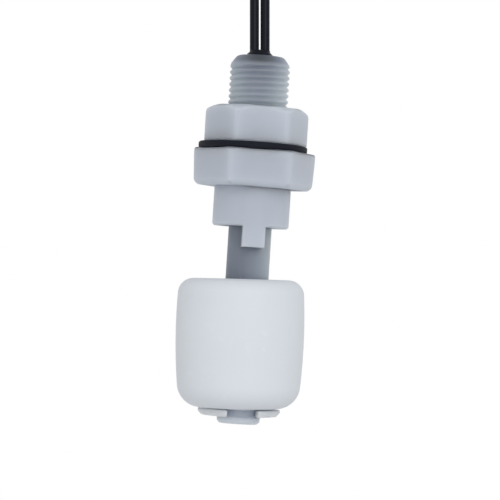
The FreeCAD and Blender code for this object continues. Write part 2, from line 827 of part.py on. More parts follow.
def make_lead(label, shift):
    """One insulated lead from its stripped end to the hank."""
    path = lead_path(shift)
    radius = size["lead_diameter"].value / 2
    start = path.OrderedVertexes[0].Point
    ring = Part.Wire([Part.Circle(start, Vector(0, 0, 1), radius).toShape()])
    tube = Part.BRepOffsetAPI.MakePipeShell(path)
    tube.setFrenetMode(True)
    tube.add(ring)
    tube.build()
    tube.makeSolid()
    solid = tube.shape()
    expected = math.pi * radius ** 2 * path.Length
    print(f"{label} length {path.Length:.2f} mm, volume ratio {solid.Volume / expected:.4f}")
    lead = doc.addObject("Part::Feature", label)
    lead.Shape = solid
    lead.Label = label
    return lead


def make_seal(leads):
    """Potting compound in the shank's mouth, with a collar climbing the leads."""
    blank = doc.addObject("PartDesign::Body", "seal_blank")
    wall = size["chamber_diameter"] / 2 - size["seal_play"]
    collar = size["lead_spacing"] / 2 + size["lead_diameter"] / 2 + size["seal_margin"]
    top = size["shank_length"]
    turn(blank, "plug", [
        (0, top - size["seal_depth"]),
        (wall, top - size["seal_depth"]),
        (wall, top - size["seal_dip"]),
        (collar, top),
        (collar - size["seal_taper"], top + size["seal_rise"]),
        (0, top + size["seal_rise"]),
    ])
    pair = doc.addObject("Part::MultiFuse", "lead_pair")
    pair.Shapes = leads
    seal = doc.addObject("Part::Cut", "potting_seal")
    seal.Base = blank
    seal.Tool = pair
    seal.Label = "potting_seal"
    return seal


def make_hank():
    """Outer shape of the folded leads, pinched at its middle by the tie."""
    body = new_body("lead_hank")
    half, waist = size["hank_width"] / 2, size["hank_waist"] / 2
    edge = size["hank_corner_radius"]
    sketch = new_sketch(body, "hank_outline", "XZ_Plane", -as_size(HANK_FRONT) - size["hank_depth"])
    outline(sketch, [
        (-half, hank_foot, edge),
        (half, hank_foot, edge),
        (waist, hank_middle),
        (half, hank_top, edge),
        (-half, hank_top, edge),
        (-waist, hank_middle),
    ])
    extrude(body, "hank", sketch, size["hank_depth"])
    return body


def make_tie():
    """Flat band round the hank's waist."""
    body = new_body("hank_tie")
    play, thick = size["tie_play"], size["tie_thickness"]
    slope = (size["hank_width"] - size["hank_waist"]) / size["hank_height"]
    inner = size["hank_waist"] / 2 + size["tie_width"] / 2 * slope + play
    front = as_size(HANK_FRONT) - play
    back = as_size(HANK_FRONT) + size["hank_depth"] + play
    sketch = new_sketch(body, "tie_outline", "XY_Plane", hank_middle - size["tie_width"] / 2)
    for grow in (0, thick):
        x = inner + grow
        corner = size["tie_corner_radius"] + grow
        outline(sketch, [
            (-x, front - grow, corner),
            (x, front - grow, corner),
            (x, back + grow, corner),
            (-x, back + grow, corner),
        ])
    extrude(body, "tie", sketch, size["tie_width"])
    return body


def make_tip(label, place):
    body = new_body(label)
    sketch = new_sketch(body, "tip_outline", "XY_Plane", hank_top)
    circle(sketch, place[0], place[1], size["tip_diameter"])
    extrude(body, "tip", sketch, size["tip_length"])
    return body


# ---------------------------------------------------------------- document


def make_all():
    make_stem()
    make_gasket()
    make_nut()
    make_clip()
    hang_float([make_float_shell(), make_float_cap(), make_magnet()])
    make_contact()
    half = size["lead_spacing"].value / 2
    leads = [make_lead("lead_a", -half), make_lead("lead_b", half)]
    make_seal(leads)
    make_hank()
    make_tie()
    for label, place in zip(("tinned_tip_a", "tinned_tip_b"), TIP_PLACES):
        make_tip(label, place)


def sub_parts():
    """The pieces of the finished switch: helper solids are left out."""
    helpers = ("seal_blank",)
    kinds = ("PartDesign::Body", "Part::Cut", "Part::Feature")
    return [o for o in doc.Objects if o.TypeId in kinds and o.Name not in helpers]


def check_document():
    for thing in doc.Objects:
        if {"Invalid", "Error"} & set(thing.State):
            raise RuntimeError(f"{thing.Name} could not be computed: {thing.State}")
    for piece in sub_parts():
        if piece.Shape.isNull() or not piece.Shape.isValid() or not piece.Shape.Solids:
            raise RuntimeError(f"{piece.Label} has no valid solid")


def export():
    os.makedirs("parts", exist_ok=True)
    for piece in sub_parts():
        piece.Shape.exportStep(os.path.join("parts", piece.Label + ".step"))
        print(f"{piece.Label}: {piece.Shape.Volume:.2f} cubic mm")


make_all()
doc.recompute()
check_document()
export()
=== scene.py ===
"""Looks of a miniature vertical float switch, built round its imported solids.

The frame's origin is on the stem's axis at the flange's seal face, with +Z towards the leads.
Lengths are in metres, but for the rings of edges that are rounded, which are in millimetres.
"""
import math

import bmesh
import bpy
from mathutils import Matrix, Vector


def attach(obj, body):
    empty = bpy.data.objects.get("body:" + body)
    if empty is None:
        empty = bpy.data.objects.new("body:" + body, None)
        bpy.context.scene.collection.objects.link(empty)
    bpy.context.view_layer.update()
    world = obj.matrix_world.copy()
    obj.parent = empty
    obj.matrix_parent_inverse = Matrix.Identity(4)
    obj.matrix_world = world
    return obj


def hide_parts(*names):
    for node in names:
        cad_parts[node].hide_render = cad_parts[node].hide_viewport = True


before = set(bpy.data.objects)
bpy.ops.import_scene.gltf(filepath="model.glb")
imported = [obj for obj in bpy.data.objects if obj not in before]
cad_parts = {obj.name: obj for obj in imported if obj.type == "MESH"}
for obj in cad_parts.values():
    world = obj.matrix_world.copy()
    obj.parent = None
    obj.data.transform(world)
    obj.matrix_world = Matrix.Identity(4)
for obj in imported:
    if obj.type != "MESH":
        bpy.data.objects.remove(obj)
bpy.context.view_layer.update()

bl_info = {
    "name": "Float Level Switch",
    "version": (1, 0, 0),
    "blender": (4, 5, 0),
    "location": "View3D > Sidebar > Float Switch",
    "description": "Builds the finish, thread, leads and studio of a miniature float switch",
    "category": "Object",
}

MM = 0.001

# Middle line of the pair of leads, as in the solids, as x and z. The third and the last point
# are added on its straight run out of the shank into the hank, to hold the curve to it.
LEAD_ROUTE = [(0.00047, -0.003), (0.00047, 0.005), (-0.00003, 0.013), (-0.00091, 0.027),
              (-0.00116, 0.031)]
LEAD_SPACING = 1.8 * MM
SHANK_RADIUS = 5.0 * MM
SHANK_TOP = 15.85 * MM
NECK_RADIUS = 6.4 * MM
NECK_FOOT = -12.75 * MM
LUG_HALF_WIDTH = 1.85 * MM
HANK_FOOT = 27.1 * MM
HANK_HEIGHT = 34.0 * MM
TIP_PLACES = ((-3.0 * MM, 7.4 * MM), (3.0 * MM, 7.4 * MM))
TIP_LENGTH = 6.0 * MM

CREASE = math.radians(28)       # edges that turn more than this stay sharp
NEAR = 0.01 * MM                # two places closer than this count as one
NECK_BEVEL_FOOT = (6.0 * MM, 6.2 * MM)  # ring that the neck's lower bevel ends in

# The float's section.
HOLLOW_INSET = 0.2 * MM         # straight hollow, inside the bulging wall
FOOT_STEP = 1.6 * MM            # floor over the rounded foot, in from the hollow
LEDGE_WIDTH = 0.8 * MM          # ledge under the magnet, out from the tube
MAGNET_ROOM = 5.05 * MM         # from the ledge to the lid
RING_RADIUS = 6.85 * MM         # snap ring's outside, where the float's low side rests

# The snap ring's arm and the collar of compound.
ARM_SLOPE = 0.05                # rise of the arm over its reach
COLLAR_INSIDE = 1.75 * MM       # only what lies outside this radius moves
COLLAR_WAIST = 0.5 * MM         # over the shank's top
COLLAR_SHARES = (0.93, 1.09)    # width over and under the waist
COLLAR_SHIFT = 0.22 * MM

# The hank.
LOOP_REACH = 7.3 * MM           # from a loop's centre to the end of the hank
LOOP_SPREAD = 0.03              # how much smaller the smallest loop is
LAYER_SHARE = 1.1               # from turn to turn, in diameters
TIP_STRAIGHT = 5.0 * MM         # straight length under a bare end

# Tones of the plastics, as shares of their colours, the painted light on the stem's foot, and the
# marks on their skin.
NATURAL_TONES = (0.96, 1.03)
THIN_TONES = (0.92, 1.08)
WHITE_TONES = (0.97, 1.02)
PLAIN_TONES = (0.9, 1.1)
# Painted light: the stem's solid end is lightened by this share, against the shade that the float
# and snap ring cast on it.
FOOT_PAINTED_LIGHT = 1.15
MARK_TONE = 1.12
MARK_SCALE = 420.0
MARK_RANGE = (0.64, 0.76)
PAINTED_SIDE_RANGE = (1.0, 1.6)         # painted light over which the thin wall takes its painted side's tint

# Strength of the surroundings as a light, and as the camera and gloss see them.
SURROUND_STRENGTHS = (0.63, 1.0)


# ---------------------------------------------------------------- settings


class ThreadSettings(bpy.types.PropertyGroup):
    pitch: bpy.props.FloatProperty(
        name="Pitch", description="Rise of the thread in one turn",
        default=1.0 * MM, min=0.0, unit="LENGTH", precision=5)
    depth: bpy.props.FloatProperty(
        name="Depth", description="Depth of the groove below the crest",
        default=0.34 * MM, min=0.0, unit="LENGTH", precision=5)
    mouth: bpy.props.FloatProperty(
        name="Mouth", description="Width of the groove at the crest",
        default=0.76 * MM, min=0.0, unit="LENGTH", precision=5)
    start: bpy.props.FloatProperty(
        name="Start", description="Height of the groove's lower end over the flange",
        default=0.95 * MM, min=0.0, unit="LENGTH", precision=5)
    end_margin: bpy.props.FloatProperty(
        name="End margin", description="Plain length at the shank's top",
        default=1.7 * MM, min=0.0, unit="LENGTH", precision=5)
    root: bpy.props.FloatProperty(
        name="Root", description="Width of the groove at its bottom",
        default=0.10 * MM, min=0.0, unit="LENGTH", precision=5)


class FloatSettings(bpy.types.PropertyGroup):
    diameter: bpy.props.FloatProperty(
        name="Diameter", description="Widest place of the barrel",
        default=21.46 * MM, unit="LENGTH", precision=5)
    height: bpy.props.FloatProperty(
        name="Height", description="From foot to top", default=21.5 * MM, unit="LENGTH",
        precision=5)
    waist: bpy.props.FloatProperty(
        name="Waist", description="Height of the widest place", default=13.0 * MM,
        unit="LENGTH", precision=5)
    bulge_radius: bpy.props.FloatProperty(
        name="Bulge", description="Radius of the barrel side", default=100.0 * MM,
        unit="LENGTH", precision=5)
    foot_radius: bpy.props.FloatProperty(
        name="Foot", description="Radius of the lower corner", default=4.0 * MM,
        unit="LENGTH", precision=5)
    crown_radius: bpy.props.FloatProperty(
        name="Crown", description="Radius of the upper corner", default=2.6 * MM,
        unit="LENGTH", precision=5)
    bore: bpy.props.FloatProperty(
        name="Bore", description="Hole for the stem", default=9.3 * MM, unit="LENGTH",
        precision=5)
    bore_edge: bpy.props.FloatProperty(
        name="Bore edge", description="Bevel at both ends of the bore", default=0.4 * MM,
        unit="LENGTH", precision=5)
    wall: bpy.props.FloatProperty(
        name="Wall", description="Thickness of the cup and the lid", default=1.3 * MM,
        unit="LENGTH", precision=5)
    tube_wall: bpy.props.FloatProperty(
        name="Tube wall", description="Thickness of the tube round the bore",
        default=0.9 * MM, unit="LENGTH", precision=5)
    seam_depth: bpy.props.FloatProperty(
        name="Seam", description="From the top to the welded seam", default=3.4 * MM,
        unit="LENGTH", precision=5)
    top_shift: bpy.props.FloatProperty(
        name="Top shift", description="Sideways place of the bore's top", default=0.94 * MM,
        unit="LENGTH", precision=5)
    foot_shift: bpy.props.FloatProperty(
        name="Foot shift", description="Sideways place of the bore's foot", default=0.17 * MM,
        unit="LENGTH", precision=5)
    rest_level: bpy.props.FloatProperty(
        name="Rest level", description="Height of the float's lowest point",
        default=-43.25 * MM, unit="LENGTH", precision=5)


class FinishSettings(bpy.types.PropertyGroup):
    natural: bpy.props.FloatVectorProperty(
        name="Natural plastic", description="Colour of the unpigmented mouldings",
        default=(0.475, 0.515, 0.585), size=3, min=0.0, max=1.0, subtype="COLOR")
    thin_wall: bpy.props.FloatVectorProperty(
        name="Thin wall", description="Colour of the same plastic over the dark inside",
        default=(0.231, 0.263, 0.322), size=3, min=0.0, max=1.0, subtype="COLOR")
    # Painted light: the tint that the thin wall takes where its painted side light is strongest.
    thin_painted_side: bpy.props.FloatVectorProperty(
        name="Thin wall's painted side", description="Tint of the thin wall where light passes beside "
        "the dark inside", default=(0.236, 0.266, 0.286), size=3, min=0.0, max=1.0,
        subtype="COLOR")
    white: bpy.props.FloatVectorProperty(
        name="White plastic", description="Colour of the float",
        default=(0.70, 0.74, 0.79), size=3, min=0.0, max=1.0, subtype="COLOR")
    rubber: bpy.props.FloatVectorProperty(
        name="Rubber", description="Colour of the gasket",
        default=(0.010, 0.012, 0.018), size=3, min=0.0, max=1.0, subtype="COLOR")
    insulation: bpy.props.FloatVectorProperty(
        name="Insulation", description="Colour of the leads",
        default=(0.006, 0.007, 0.013), size=3, min=0.0, max=1.0, subtype="COLOR")


class LeadSettings(bpy.types.PropertyGroup):
    diameter: bpy.props.FloatProperty(
        name="Diameter", description="Outside of one lead",
        default=1.56 * MM, min=0.0, unit="LENGTH", precision=5)
    length: bpy.props.FloatProperty(
        name="Length", description="Length of one lead",
        default=0.40, min=0.1, unit="LENGTH")
    turns: bpy.props.IntProperty(
        name="Turns", description="Turns of each lead in its hank", default=4, min=1)


# ---------------------------------------------------------------- meshes


def dressed_copy(name, node, soft_edges=(), ready=None):
    """A merged copy of a solid's or a ready piece's mesh, smooth but for its true edges.

    Each soft edge is (lowest z, highest z, inner radius, outer radius, width, segments), and
    names the sharp edges in a ring round the Z axis that are rounded, in millimetres.
    """
    shape = bmesh.new()
    shape.from_mesh((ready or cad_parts[node]).data)
    bmesh.ops.remove_doubles(shape, verts=shape.verts, dist=2e-6)
    if soft_edges:
        bmesh.ops.dissolve_limit(shape, angle_limit=math.radians(0.3), verts=shape.verts,
                                 edges=shape.edges)
        for ring in soft_edges:
            soften(shape, *ring)
    for face in shape.faces:
        face.smooth = True
    for edge in shape.edges:
        edge.smooth = len(edge.link_faces) == 2 and edge.calc_face_angle() < CREASE
    return placed_mesh(name, shape)


def soften(shape, low, high, inner, outer, width, segments):
    """Round the sharp edges of a mesh that lie inside a ring round the Z axis."""
    def inside(vertex):
        radius = math.hypot(vertex.co.x, vertex.co.y) / MM
        return low <= vertex.co.z / MM <= high and inner <= radius <= outer
    picked = [edge for edge in shape.edges
              if len(edge.link_faces) == 2 and edge.calc_face_angle() > math.radians(20)
              and all(inside(vertex) for vertex in edge.verts)]
    if not picked:
        raise RuntimeError(f"no edges between {low} and {high}")
    bmesh.ops.bevel(shape, geom=picked, offset=width * MM, offset_type="OFFSET",
                    segments=segments, profile=0.5, affect="EDGES", clamp_overlap=False)


def placed_mesh(name, shape):
    """Write a mesh in work to a new object in the scene."""
    mesh = bpy.data.meshes.new(name)
    shape.to_mesh(mesh)
    shape.free()
    return placed_object(name, mesh)


def placed_object(name, data):
    """A new object in the scene that holds the given data."""
    piece = bpy.data.objects.new(name, data)
    bpy.context.scene.collection.objects.link(piece)
    return piece


def turned(name, profile, steps, lean):
    """A closed ring: a closed outline in x and z turned about the Z axis, then leaned."""
    shape = bmesh.new()
    rings = []
    for step in range(steps):
        angle = 2 * math.pi * step / steps
        rings.append([shape.verts.new((x * math.cos(angle), x * math.sin(angle), z))
                      for x, z in profile])
    for ring, following in zip(rings, rings[1:] + rings[:1]):
        for i, (low, high) in enumerate(zip(ring, ring[1:] + ring[:1])):
            after = (i + 1) % len(ring)
            shape.faces.new((low, following[i], following[after], high)).smooth = True
    bmesh.ops.recalc_face_normals(shape, faces=shape.faces)
    for edge in shape.edges:
        edge.smooth = edge.calc_face_angle() < CREASE
    shape.transform(lean)
    return placed_mesh(name, shape)


def arc(x, z, radius, first, last, steps):
    """Points in x and z along an arc; its angles are in degrees."""
    angles = [math.radians(first + (last - first) * step / steps) for step in range(steps + 1)]
    return [(x + radius * math.cos(a), z + radius * math.sin(a)) for a in angles]


def weigh_normals(piece):
    """Let flat faces keep their flat shading beside rounded edges."""
    normals = piece.modifiers.new("Normals", "WEIGHTED_NORMAL")
    normals.keep_sharp = True
    normals.weight = 100
    return piece


def baked(piece):
    """Turn the piece's modifiers into plain mesh."""
    graph = bpy.context.evaluated_depsgraph_get()
    graph.update()
    mesh = bpy.data.meshes.new_from_object(piece.evaluated_get(graph))
    old = piece.data
    piece.modifiers.clear()
    piece.data = mesh
    bpy.data.meshes.remove(old)
    return piece


class Tree:
    """Small helper that adds nodes to a group and links them in one call."""

    def __init__(self, group):
        self.group = group

    def add(self, kind, *inputs, named=None, **settings):
        node = self.group.nodes.new(kind)
        for key, value in settings.items():
            setattr(node, key, value)
        for key, value in [*enumerate(inputs), *(named or {}).items()]:
            self.feed(node.inputs[key], value)
        return node

    def feed(self, socket, value):
        if isinstance(value, bpy.types.Node):
            value = value.outputs[0]
        if isinstance(value, bpy.types.NodeSocket):
            self.group.links.new(value, socket)
        else:
            socket.default_value = value

    def maths(self, operation, *values, clamp=False):
        return self.add("ShaderNodeMath", *values, operation=operation, use_clamp=clamp)


def new_group(name, kind, inputs, outputs):
    """A node group with its sockets; inputs are (name, type, default), outputs (name, type)."""
    group = bpy.data.node_groups.new(name, kind)
    for label, socket_type, default in inputs:
        socket = group.interface.new_socket(label, in_out="INPUT", socket_type=socket_type)
        if default is not None:
            socket.default_value = default
    for label, socket_type in outputs:
        group.interface.new_socket(label, in_out="OUTPUT", socket_type=socket_type)
    tree = Tree(group)
    return tree, group.nodes.new("NodeGroupInput"), group.nodes.new("NodeGroupOutput")


def run_tree(piece, group, **values):
    """Run a geometry tree on the piece with its inputs set by name, then keep the mesh."""
    modifier = piece.modifiers.new(group.name, "NODES")
    modifier.node_group = group
    for item in group.interface.items_tree:
        if item.in_out == "INPUT" and item.name in values:
            modifier[item.identifier] = values[item.name]
    return baked(piece)


# ---------------------------------------------------------------- geometry trees


def thread_tree():
    """Cuts a right-hand groove with sloping flanks out of a shank that stands on the Z axis."""
    floats = (("Shank Radius", 0.005), ("Pitch", 0.001), ("Depth", 0.0005), ("Mouth", 0.0008),
              ("Root", 0.0002), ("Start", 0.0), ("Rise", 0.016))
    inputs = [("Geometry", "NodeSocketGeometry", None)]
    inputs += [(name, "NodeSocketFloat", default) for name, default in floats]
    inputs += [("Steps", "NodeSocketInt", 48), ("Material", "NodeSocketMaterial", None)]
    tree, given, result = new_group(
        "Cut Thread", "GeometryNodeTree", inputs, [("Geometry", "NodeSocketGeometry")])
    value = given.outputs
    turns = tree.maths("DIVIDE", value["Rise"], value["Pitch"])
    helix = tree.add("GeometryNodeCurveSpiral", named={
        "Resolution": value["Steps"], "Rotations": turns, "Start Radius": value["Shank Radius"],
        "End Radius": value["Shank Radius"], "Height": value["Rise"], "Reverse": True})
    lift = tree.add("ShaderNodeCombineXYZ", named={"Z": value["Start"]})
    placed = tree.add("GeometryNodeTransform", named={"Geometry": helix, "Translation": lift})
    upright = tree.add("GeometryNodeSetCurveNormal", placed, mode="Z_UP")
    # The section reaches as far outside the crest as it goes below it.
    slope = tree.maths("SUBTRACT", value["Mouth"], value["Root"])
    outer = tree.maths("ADD", value["Mouth"], slope)
    height = tree.maths("MULTIPLY", value["Depth"], 2.0)
    section = tree.add("GeometryNodeCurvePrimitiveQuadrilateral", mode="TRAPEZOID", named={
        "Height": height, "Bottom Width": outer, "Top Width": value["Root"], "Offset": 0.0})
    turned = tree.add("GeometryNodeTransform", named={
        "Geometry": section, "Rotation": (0.0, 0.0, math.radians(90))})
    cutter = tree.add("GeometryNodeCurveToMesh", named={
        "Curve": upright, "Profile Curve": turned, "Fill Caps": True})
    cut = tree.add("GeometryNodeMeshBoolean", operation="DIFFERENCE", solver="MANIFOLD")
    tree.feed(cut.inputs["Mesh 1"], value["Geometry"])
    tree.feed(cut.inputs["Mesh 2"], cutter)
    whole = tree.add("GeometryNodeRealizeInstances", cut.outputs["Mesh"])
    coated = tree.add("GeometryNodeSetMaterial", named={
        "Geometry": whole, "Material": value["Material"]})
    tree.feed(result.inputs[0], coated)
    return tree.group


def strand_tree():
    """Twists a few round strands about the Z axis."""
    if "Twisted Strands" in bpy.data.node_groups:
        return bpy.data.node_groups["Twisted Strands"]
    floats = (("Lay Radius", 0.0003), ("Strand Radius", 0.0001), ("Length", 0.006), ("Turns", 2.0))
    inputs = [("Strands", "NodeSocketInt", 7), ("Material", "NodeSocketMaterial", None)]
    inputs += [(name, "NodeSocketFloat", default) for name, default in floats]
    tree, given, result = new_group(
        "Twisted Strands", "GeometryNodeTree", inputs, [("Geometry", "NodeSocketGeometry")])
    value = given.outputs
    helix = tree.add("GeometryNodeCurveSpiral", named={
        "Resolution": 16, "Rotations": value["Turns"], "Start Radius": value["Lay Radius"],
        "End Radius": value["Lay Radius"], "Height": value["Length"]})
    places = tree.add("GeometryNodeMeshLine", named={
        "Count": value["Strands"], "Offset": (0.0, 0.0, 0.0)})
    number = tree.add("GeometryNodeInputIndex")
    share = tree.maths("DIVIDE", number, value["Strands"])
    angle = tree.maths("MULTIPLY", share, 2 * math.pi)
    turn = tree.add("ShaderNodeCombineXYZ", named={"Z": angle})
    around = tree.add("GeometryNodeInstanceOnPoints", named={
        "Points": places, "Instance": helix, "Rotation": turn})
    loose = tree.add("GeometryNodeRealizeInstances", around)
    section = tree.add("GeometryNodeCurvePrimitiveCircle", named={
        "Resolution": 8, "Radius": value["Strand Radius"]})
    solid = tree.add("GeometryNodeCurveToMesh", named={
        "Curve": loose, "Profile Curve": section, "Fill Caps": True})
    whole = tree.add("GeometryNodeRealizeInstances", solid)
    coated = tree.add("GeometryNodeSetMaterial", named={
        "Geometry": whole, "Material": value["Material"]})
    tree.feed(result.inputs[0], coated)
    return tree.group


# ---------------------------------------------------------------- shader groups


def skin_group():
    """Moulded skin: cloudy tone, fine satin grain and a few shallow flow marks."""
    if "Moulded Skin" in bpy.data.node_groups:
        return bpy.data.node_groups["Moulded Skin"]
    tree, given, result = new_group("Moulded Skin", "ShaderNodeTree", [
        ("Cloud Size", "NodeSocketFloat", 0.006),
        ("Grain Size", "NodeSocketFloat", 0.0002),
        ("Marks", "NodeSocketFloat", 0.0),
    ], [("Tone", "NodeSocketFloat"), ("Height", "NodeSocketFloat"), ("Marks", "NodeSocketFloat")])
    place = tree.add("ShaderNodeTexCoord").outputs["Object"]
    cloud_scale = tree.maths("DIVIDE", 1.0, given.outputs["Cloud Size"])
    grain_scale = tree.maths("DIVIDE", 1.0, given.outputs["Grain Size"])
    cloud = tree.add("ShaderNodeTexNoise", named={
        "Vector": place, "Scale": cloud_scale, "Detail": 2.0, "Roughness": 0.5})
    grain = tree.add("ShaderNodeTexNoise", named={
        "Vector": place, "Scale": grain_scale, "Detail": 3.0, "Roughness": 0.6})
    spots = tree.add("ShaderNodeTexNoise", named={
        "Vector": place, "Scale": MARK_SCALE, "Detail": 2.0, "Roughness": 0.5,
        "Distortion": 0.3})
    picked = tree.add("ShaderNodeMapRange", spots, *MARK_RANGE, 0.0, 1.0)
    marks = tree.maths("MULTIPLY", picked, given.outputs["Marks"])
    tree.feed(result.inputs["Tone"], cloud)
    tree.feed(result.inputs["Height"], grain)
    tree.feed(result.inputs["Marks"], marks)
    return tree.group


def depth_group():
    """Masks and brightness of a wall that stands over a dark chamber.

    Solid is 1 where the wall is solid and 0 where the chamber is close behind it. Painted Light
    And Seal is the thin wall's brightness: painted light and shade, with the black compound's
    darkening. Foot is 1 below the chamber.
    """
    shank_start = (-0.002, 0.0)
    seal_span = (0.0085, 0.0150)
    last_ribs = (0.0138, 0.0146)
    groove_radii = (0.00466, 0.0050)
    tree, given, result = new_group("Wall Over Chamber", "ShaderNodeTree", [
        ("Thin Radius", "NodeSocketFloat", 0.0046),
        ("Solid Radius", "NodeSocketFloat", 0.0060),
        ("Chamber Foot", "NodeSocketFloat", -0.0412),
        ("Fade", "NodeSocketFloat", 0.0015),
        ("Stem Slope", "NodeSocketFloat", 110.0),
        ("Stem Curve", "NodeSocketFloat", 17000.0),
        ("Shank Slope", "NodeSocketFloat", 57.0),
        ("Shank Curve", "NodeSocketFloat", 43000.0),
        ("Seal Shade", "NodeSocketFloat", 0.70),
        ("Groove Glow", "NodeSocketFloat", 0.50),
    ], [("Solid", "NodeSocketFloat"), ("Painted Light And Seal", "NodeSocketFloat"),
        ("Foot", "NodeSocketFloat")])
    place = tree.add("ShaderNodeTexCoord").outputs["Object"]
    parts = tree.add("ShaderNodeSeparateXYZ", place)
    flat = tree.add("ShaderNodeCombineXYZ", parts.outputs["X"], parts.outputs["Y"])
    radius = tree.add("ShaderNodeVectorMath", flat, operation="LENGTH").outputs["Value"]
    wide = tree.add("ShaderNodeMapRange", radius, given.outputs["Thin Radius"],
                    given.outputs["Solid Radius"], 0.0, 1.0)
    low_end = tree.maths("SUBTRACT", given.outputs["Chamber Foot"], given.outputs["Fade"])
    low = tree.add("ShaderNodeMapRange", parts.outputs["Z"], low_end,
                   given.outputs["Chamber Foot"], 1.0, 0.0)
    solid = tree.maths("MAXIMUM", wide, low)
    # Painted light and shade on the thin wall: it is painted lighter towards both sides, most on
    # the +X side where the light falls, over the dark wiring behind its middle. The black compound
    # in the shank darkens its upper end, and painted shade there also darkens the upward-facing
    # chamfer. Painted light brightens the groove between the ribs of the thread, standing in for
    # light that passes through them.
    slope, curve = (
        tree.add("ShaderNodeMapRange", parts.outputs["Z"], *shank_start,
                 given.outputs[f"Stem {share}"], given.outputs[f"Shank {share}"])
        for share in ("Slope", "Curve"))
    # Painted light: the thin wall is lighter towards its sides, most on the +X side.
    bent = tree.maths("MULTIPLY_ADD", parts.outputs["X"], curve, slope)
    painted_side_light = tree.maths("MULTIPLY_ADD", parts.outputs["X"], bent, 1.0)
    # Partly real and partly painted shade: the black compound darkens the shank's top, and painted
    # shade darkens its lit chamfer.
    seal_and_painted_shade = tree.add("ShaderNodeMapRange", parts.outputs["Z"], *seal_span, 0.0,
                      given.outputs["Seal Shade"])
    # Painted light: inside the thread's groove the wall is painted lighter, most at its root,
    # fading out above the last ribs.
    glow = tree.add("ShaderNodeMapRange", parts.outputs["Z"], *shank_start, 0.0,
                    given.outputs["Groove Glow"])
    ribbed = tree.add("ShaderNodeMapRange", parts.outputs["Z"], *last_ribs, glow, 0.0)
    groove = tree.add("ShaderNodeMapRange", radius, *groove_radii, ribbed, 0.0)
    shaded = tree.maths("SUBTRACT", painted_side_light, seal_and_painted_shade)
    painted_light_and_seal = tree.maths("ADD", shaded, groove)
    tree.feed(result.inputs["Solid"], solid)
    tree.feed(result.inputs["Painted Light And Seal"], painted_light_and_seal)
    tree.feed(result.inputs["Foot"], low)
    return tree.group


# ---------------------------------------------------------------- materials


def new_material(name, roughness=0.5, **constants):
    """A material with one Principled shader whose plain values stand on its own sockets."""
    material = bpy.data.materials.new(name)
    material.use_nodes = True
    tree = Tree(material.node_tree)
    shader = material.node_tree.nodes["Principled BSDF"]
    shader.inputs["Roughness"].default_value = roughness
    for socket, value in constants.items():
        shader.inputs[socket.replace("_", " ")].default_value = value
    return material, tree, shader


def rgba(colour, gain=1.0):
    return (*(min(1.0, c * gain) for c in colour), 1.0)


def toned(tree, skin, colour, tones, gain=1.0):
    """The colour between its two tones, by the skin's cloudy tone."""
    first, second = (rgba(colour, tone * gain) for tone in tones)
    return mix_colours(tree, skin.outputs["Tone"], first, second)


def mix_colours(tree, mask, first, second):
    mix = tree.add("ShaderNodeMix", data_type="RGBA")
    tree.feed(mix.inputs["Factor"], mask)
    tree.feed(mix.inputs[6], first)
    tree.feed(mix.inputs[7], second)
    return mix.outputs[2]


def add_skin(tree, shader, cloud=0.006, grain=0.0002, marks=0.0, bump=0.15):
    """Place the moulded skin group and lead its height to the normal; return the group node."""
    skin = tree.add("ShaderNodeGroup", node_tree=skin_group())
    for socket, value in (("Cloud Size", cloud), ("Grain Size", grain), ("Marks", marks)):
        skin.inputs[socket].default_value = value
    bumped = tree.add("ShaderNodeBump", named={
        "Strength": bump, "Distance": 0.00002, "Height": skin.outputs["Height"]})
    tree.feed(shader.inputs["Normal"], bumped)
    return skin


def natural_plastic(name, thin_wall=False, gain=1.0):
    """Unpigmented moulded plastic: milky, satin, darker where its wall stands over the chamber.
    The thin wall carries painted light and shade, the foot painted light, and gain paints the
    whole piece lighter.
    """
    finish = bpy.context.scene.switch_finish
    material, tree, shader = new_material(
        name, roughness=0.5, Specular_IOR_Level=0.35, Subsurface_Weight=0.95,
        Subsurface_Radius=(1.0, 1.0, 1.0), Subsurface_Scale=0.006, IOR=1.49)
    skin = add_skin(tree, shader)
    solid = toned(tree, skin, finish.natural, NATURAL_TONES, gain)
    if thin_wall:
        thin = toned(tree, skin, finish.thin_wall, THIN_TONES)
        depth = tree.add("ShaderNodeGroup", node_tree=depth_group())
        # Painted light: the thin wall takes a lighter tint where its painted side light is
        # strongest, and is scaled by the painted light and seal.
        side = tree.add("ShaderNodeMapRange", depth.outputs["Painted Light And Seal"], *PAINTED_SIDE_RANGE,
                        0.0, 1.0)
        thin = mix_colours(tree, side, thin, rgba(finish.thin_painted_side))
        lit = tree.add("ShaderNodeVectorMath", operation="SCALE")
        tree.feed(lit.inputs[0], thin)
        tree.feed(lit.inputs["Scale"], depth.outputs["Painted Light And Seal"])
        thin = lit.outputs[0]
        solid = mix_colours(tree, depth.outputs["Solid"], thin, solid)
        # Painted light: the solid foot below the chamber is painted lighter than the natural
        # plastic.
        solid = mix_colours(tree, depth.outputs["Foot"], solid,
                            rgba(finish.natural, FOOT_PAINTED_LIGHT))
    tree.feed(shader.inputs["Base Color"], solid)
    return material


def white_plastic():
    finish = bpy.context.scene.switch_finish
    material, tree, shader = new_material(
        "float_plastic", roughness=0.55, Specular_IOR_Level=0.35, IOR=1.49)
    skin = add_skin(tree, shader, cloud=0.009, marks=0.25)
    colour = toned(tree, skin, finish.white, WHITE_TONES)
    colour = mix_colours(tree, skin.outputs["Marks"], colour, rgba(finish.white, MARK_TONE))
    tree.feed(shader.inputs["Base Color"], colour)
    return material


def plain_skin(name, colour, roughness, bump=0.2, grain=0.0002, **constants):
    """A single-coloured finish whose tone and grain still vary over the surface."""
    material, tree, shader = new_material(name, roughness=roughness, **constants)
    skin = add_skin(tree, shader, grain=grain, bump=bump)
    tree.feed(shader.inputs["Base Color"], toned(tree, skin, colour, PLAIN_TONES))
    return material


def clothe(piece, material):
    piece.data.materials.clear()
    piece.data.materials.append(material)
    return piece


# ---------------------------------------------------------------- operators


